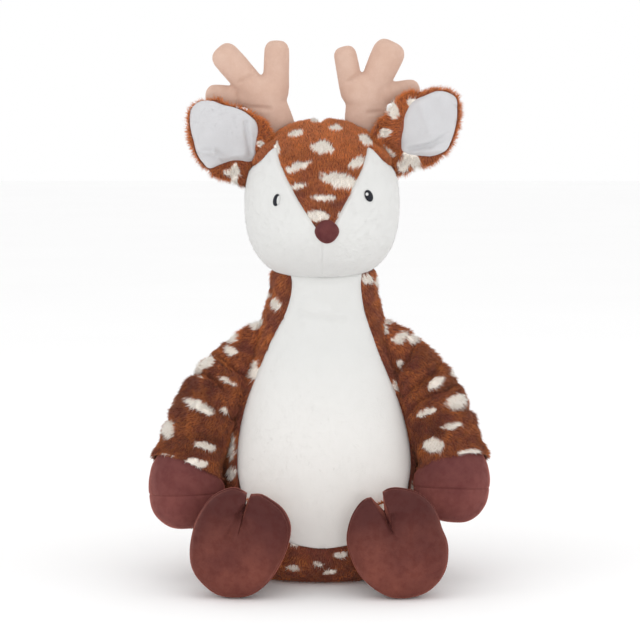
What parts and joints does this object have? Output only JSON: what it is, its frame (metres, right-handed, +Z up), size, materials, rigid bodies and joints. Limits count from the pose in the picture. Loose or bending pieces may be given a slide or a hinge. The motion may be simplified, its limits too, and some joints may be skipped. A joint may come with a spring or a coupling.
{
  "type": "plush deer toy",
  "caption": "Sitting plush deer with a spotted fur back, bare white belly panel, velour hooves, stuffed antlers and ears, and a zip in the base.",
  "frame": {"origin": "middle of the flat underside that the toy sits on", "axes": "+Z up, the deer looks along -Y, and its own left is +X"},
  "size_m": [0.2495, 0.2314, 0.3997],
  "materials": {
    "brown_spotted_fur": "dense short pile, brushed, with white spots",
    "white_fur": "dense short pile, soft white",
    "brown_velour": "short velour, matt",
    "tan_velour": "short velour, matt",
    "eye_thread": "satin-stitched thread, slight sheen",
    "fibre_stuffing": "loose polyester fibre in a fine pod",
    "bean_filling": "small round pellets in a cloth bag",
    "zip_tape_cloth": "woven tape with a nylon coil chain",
    "zip_metal": "plain die-cast, satin"
  },
  "bodies": {
    "torso": {"belly_panel": "white_fur", "side_panel_left": "brown_spotted_fur", "side_panel_right": "brown_spotted_fur", "base_panel": "brown_spotted_fur", "torso_stuffing": "fibre_stuffing", "bean_bag": "bean_filling", "zip_tape": "zip_tape_cloth"},
    "head": {"head_stuffing": "fibre_stuffing", "head_back_panel": "brown_spotted_fur", "forehead_gusset": "brown_spotted_fur", "cheek_left": "white_fur", "cheek_right": "white_fur", "nose": "brown_velour", "eye_left": "eye_thread", "eye_right": "eye_thread"},
    "ear_left": {"ear_left_back": "brown_spotted_fur", "ear_left_lining": "white_fur"},
    "ear_right": {"ear_right_back": "brown_spotted_fur", "ear_right_lining": "white_fur"},
    "antler_left": {"antler_left": "tan_velour"},
    "antler_right": {"antler_right": "tan_velour"},
    "arm_left": {"arm_left_sleeve": "brown_spotted_fur", "arm_left_stuffing": "fibre_stuffing", "hand_left_upper": "brown_velour", "hand_left_sole": "brown_velour"},
    "arm_right": {"arm_right_sleeve": "brown_spotted_fur", "arm_right_stuffing": "fibre_stuffing", "hand_right_upper": "brown_velour", "hand_right_sole": "brown_velour"},
    "leg_left": {"leg_left_sleeve": "brown_spotted_fur", "leg_left_stuffing": "fibre_stuffing", "foot_left_upper": "brown_velour", "foot_left_sole": "brown_velour"},
    "leg_right": {"leg_right_sleeve": "brown_spotted_fur", "leg_right_stuffing": "fibre_stuffing", "foot_right_upper": "brown_velour", "foot_right_sole": "brown_velour"},
    "tail": {"tail_top": "brown_spotted_fur", "tail_underside": "white_fur"},
    "zip_slider": {"zip_slider": "zip_metal"},
    "zip_pull": {"zip_pull": "zip_metal"}
  },
  "joints": [
    {"name": "head_turn", "type": "hinge", "parent": "torso", "child": "head", "pos_m": [0, -0.004, 0.2785], "axis": [0, 0, 1], "range_deg": [-40, 40], "stiffness_Nm_per_rad": 0.15},
    {"name": "arm_left_lift", "type": "hinge", "parent": "torso", "child": "arm_left", "pos_m": [0.051, -0.004, 0.171], "axis": [0, -1, 0], "range_deg": [0, 80], "stiffness_Nm_per_rad": 0.02},
    {"name": "arm_right_lift", "type": "hinge", "parent": "torso", "child": "arm_right", "pos_m": [-0.051, -0.004, 0.168], "axis": [0, 1, 0], "range_deg": [0, 80], "stiffness_Nm_per_rad": 0.02},
    {"name": "leg_left_raise", "type": "hinge", "parent": "torso", "child": "leg_left", "pos_m": [0.05, -0.047, 0.036], "axis": [-1, 0, 0], "range_deg": [-12, 30], "stiffness_Nm_per_rad": 0.08},
    {"name": "leg_right_raise", "type": "hinge", "parent": "torso", "child": "leg_right", "pos_m": [-0.05, -0.047, 0.036], "axis": [-1, 0, 0], "range_deg": [-12, 30], "stiffness_Nm_per_rad": 0.08},
    {"name": "ear_left_droop", "type": "hinge", "parent": "head", "child": "ear_left", "pos_m": [0.05, -0.003, 0.3], "axis": [0, 1, 0], "range_deg": [-8, 35], "stiffness_Nm_per_rad": 0.03},
    {"name": "ear_right_droop", "type": "hinge", "parent": "head", "child": "ear_right", "pos_m": [-0.05, -0.003, 0.3], "axis": [0, -1, 0], "range_deg": [-8, 35], "stiffness_Nm_per_rad": 0.03},
    {"name": "antler_left_sway", "type": "hinge", "parent": "head", "child": "antler_left", "pos_m": [0.0315, 0.009, 0.33], "axis": [1, 0, 0], "range_deg": [-12, 12], "stiffness_Nm_per_rad": 0.03},
    {"name": "antler_right_sway", "type": "hinge", "parent": "head", "child": "antler_right", "pos_m": [-0.0345, 0.009, 0.33], "axis": [1, 0, 0], "range_deg": [-12, 12], "stiffness_Nm_per_rad": 0.03},
    {"name": "tail_wag", "type": "hinge", "parent": "torso", "child": "tail", "pos_m": [0, 0.067, 0.046], "axis": [1, 0, 0], "range_deg": [-30, 20], "stiffness_Nm_per_rad": 0.01},
    {"name": "zip_slide", "type": "slide", "parent": "torso", "child": "zip_slider", "axis": [1, 0, 0], "range_m": [0, 0.063]},
    {"name": "zip_pull_swing", "type": "hinge", "parent": "zip_slider", "child": "zip_pull", "pos_m": [-0.034, 0.024, 0.00155], "axis": [0, 1, 0], "range_deg": [0, 110]}
  ]
}
